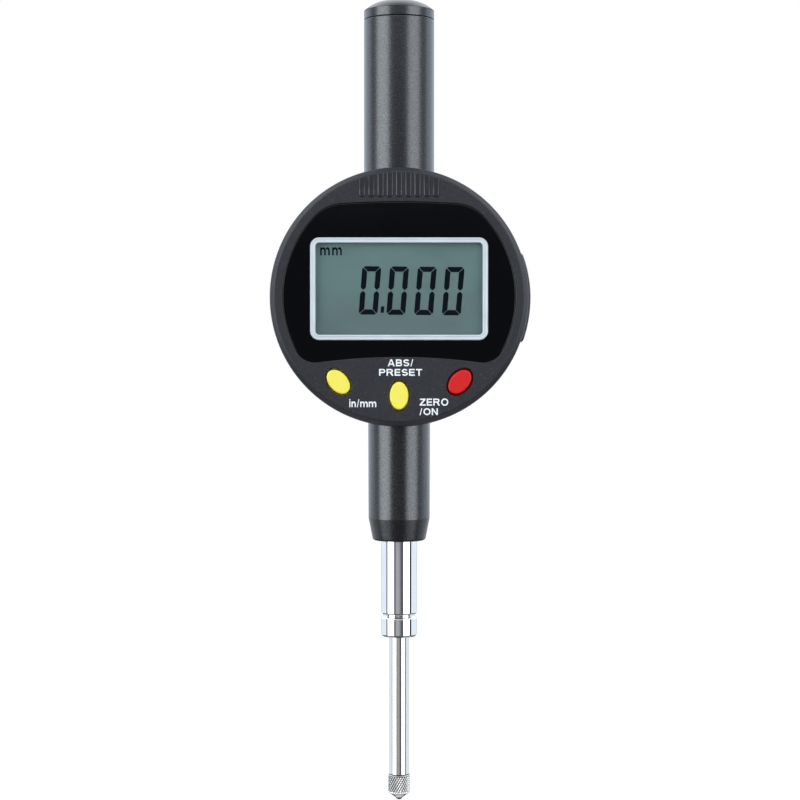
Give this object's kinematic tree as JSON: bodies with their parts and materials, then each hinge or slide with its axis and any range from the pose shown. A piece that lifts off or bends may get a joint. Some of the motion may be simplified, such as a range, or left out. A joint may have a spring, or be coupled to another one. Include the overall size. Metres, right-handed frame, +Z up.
{
  "type": "digital dial indicator",
  "caption": "Electronic dial indicator: round case with LCD and three push buttons, upper tube, clamping stem, and a sprung spindle with a knurled ball contact point.",
  "frame": {"origin": "on the spindle axis, midway along the bare 8 mm clamping stem", "axes": "+Z up along the spindle from the contact point to the cap, -Y out of the display, +X to the reader's right"},
  "size_m": [0.0575, 0.0243, 0.1788],
  "materials": {
    "case_plastic": "fine spark-eroded black plastic",
    "rear_cover": "black anodised sheet, fine grain",
    "rubber": "matte",
    "gloss_black": "high gloss",
    "bezel_white": "satin white",
    "clear_window": "clear, polished",
    "lcd_glass": "grey-green LCD behind glass",
    "circuit_board": "green solder mask",
    "black_resin": "semi-gloss",
    "cell_steel": "bright nickel plate",
    "contact_steel": "rolled spring sheet",
    "cast_metal": "die-cast zinc, sand-blasted",
    "anodised_black": "matte black anodised, turned",
    "bronze": "sintered bronze",
    "plated_stem": "polished plate",
    "ground_steel": "fine ground stainless steel",
    "knurled_steel": "diamond knurl",
    "ball_steel": "polished carbide",
    "screw_steel": "zinc plated",
    "button_yellow": "satin",
    "button_red": "satin"
  },
  "bodies": {
    "housing": {"front_housing": "case_plastic", "rear_cover": "rear_cover", "housing_gasket": "rubber", "display_overlay": "gloss_black", "lcd_bezel": "bezel_white", "display_window": "clear_window", "lcd_panel": "lcd_glass", "zebra_strip_upper": "rubber", "zebra_strip_lower": "rubber", "main_board": "circuit_board", "read_head": "circuit_board", "processor_chip": "black_resin", "battery_contact_positive": "contact_steel", "battery_contact_negative": "contact_steel", "inner_frame": "cast_metal", "upper_tube": "anodised_black", "lower_sleeve": "anodised_black", "frame_bush": "bronze", "stop_buffer": "rubber", "return_spring": "screw_steel", "stem": "plated_stem", "stem_end_bush": "plated_stem", "spring_anchor_screw": "screw_steel", "rear_cover_screw_1": "screw_steel", "board_screw_1": "screw_steel", "rear_cover_screw_2": "screw_steel", "board_screw_2": "screw_steel", "rear_cover_screw_3": "screw_steel", "board_screw_3": "screw_steel", "rear_cover_screw_4": "screw_steel", "board_screw_4": "screw_steel", "frame_screw_1": "screw_steel", "frame_screw_2": "screw_steel", "tact_switch_in_mm": "contact_steel", "tact_switch_abs_preset": "contact_steel", "tact_switch_zero_on": "contact_steel"},
    "spindle": {"spindle": "ground_steel", "scale_carrier": "cast_metal", "scale_strip": "circuit_board", "carrier_clamp_screw": "screw_steel", "guide_pin": "screw_steel"},
    "contact": {"contact_point": "knurled_steel", "contact_ball": "ball_steel"},
    "cap": {"tube_cap": "anodised_black"},
    "drawer": {"battery_drawer": "case_plastic", "coin_cell": "cell_steel"},
    "button_in_mm": {"button_in_mm": "button_yellow"},
    "plunger_in_mm": {"switch_plunger_in_mm": "black_resin"},
    "button_abs_preset": {"button_abs_preset": "button_yellow"},
    "plunger_abs_preset": {"switch_plunger_abs_preset": "black_resin"},
    "button_zero_on": {"button_zero_on": "button_red"},
    "plunger_zero_on": {"switch_plunger_zero_on": "black_resin"}
  },
  "joints": [
    {"name": "spindle_travel", "type": "slide", "parent": "housing", "child": "spindle", "axis": [0, 0, 1], "range_m": [0, 0.0257], "stiffness_N_per_m": 15, "springref_m": -0.03, "deforming": ["return_spring"]},
    {"name": "contact_unscrew", "type": "slide", "parent": "spindle", "child": "contact", "axis": [0, 0, -1], "range_m": [0, 0.006]},
    {"name": "cap_unscrew", "type": "slide", "parent": "housing", "child": "cap", "axis": [0, 0, 1], "range_m": [0, 0.012]},
    {"name": "drawer_pull", "type": "slide", "parent": "housing", "child": "drawer", "axis": [1, 0, 0], "range_m": [0, 0.018]},
    {"name": "button_in_mm_press", "type": "slide", "parent": "housing", "child": "button_in_mm", "axis": [0, 1, 0], "range_m": [0, 0.0005], "stiffness_N_per_m": 300},
    {"name": "plunger_in_mm_press", "type": "slide", "parent": "housing", "child": "plunger_in_mm", "axis": [0, 1, 0], "range_m": [0, 0.0005]},
    {"name": "button_abs_preset_press", "type": "slide", "parent": "housing", "child": "button_abs_preset", "axis": [0, 1, 0], "range_m": [0, 0.0005], "stiffness_N_per_m": 300},
    {"name": "plunger_abs_preset_press", "type": "slide", "parent": "housing", "child": "plunger_abs_preset", "axis": [0, 1, 0], "range_m": [0, 0.0005]},
    {"name": "button_zero_on_press", "type": "slide", "parent": "housing", "child": "button_zero_on", "axis": [0, 1, 0], "range_m": [0, 0.0005], "stiffness_N_per_m": 300},
    {"name": "plunger_zero_on_press", "type": "slide", "parent": "housing", "child": "plunger_zero_on", "axis": [0, 1, 0], "range_m": [0, 0.0005]}
  ],
  "couplings": [
    {"joint": "plunger_in_mm_press", "follows": "button_in_mm_press", "ratio": 1},
    {"joint": "plunger_abs_preset_press", "follows": "button_abs_preset_press", "ratio": 1},
    {"joint": "plunger_zero_on_press", "follows": "button_zero_on_press", "ratio": 1}
  ]
}
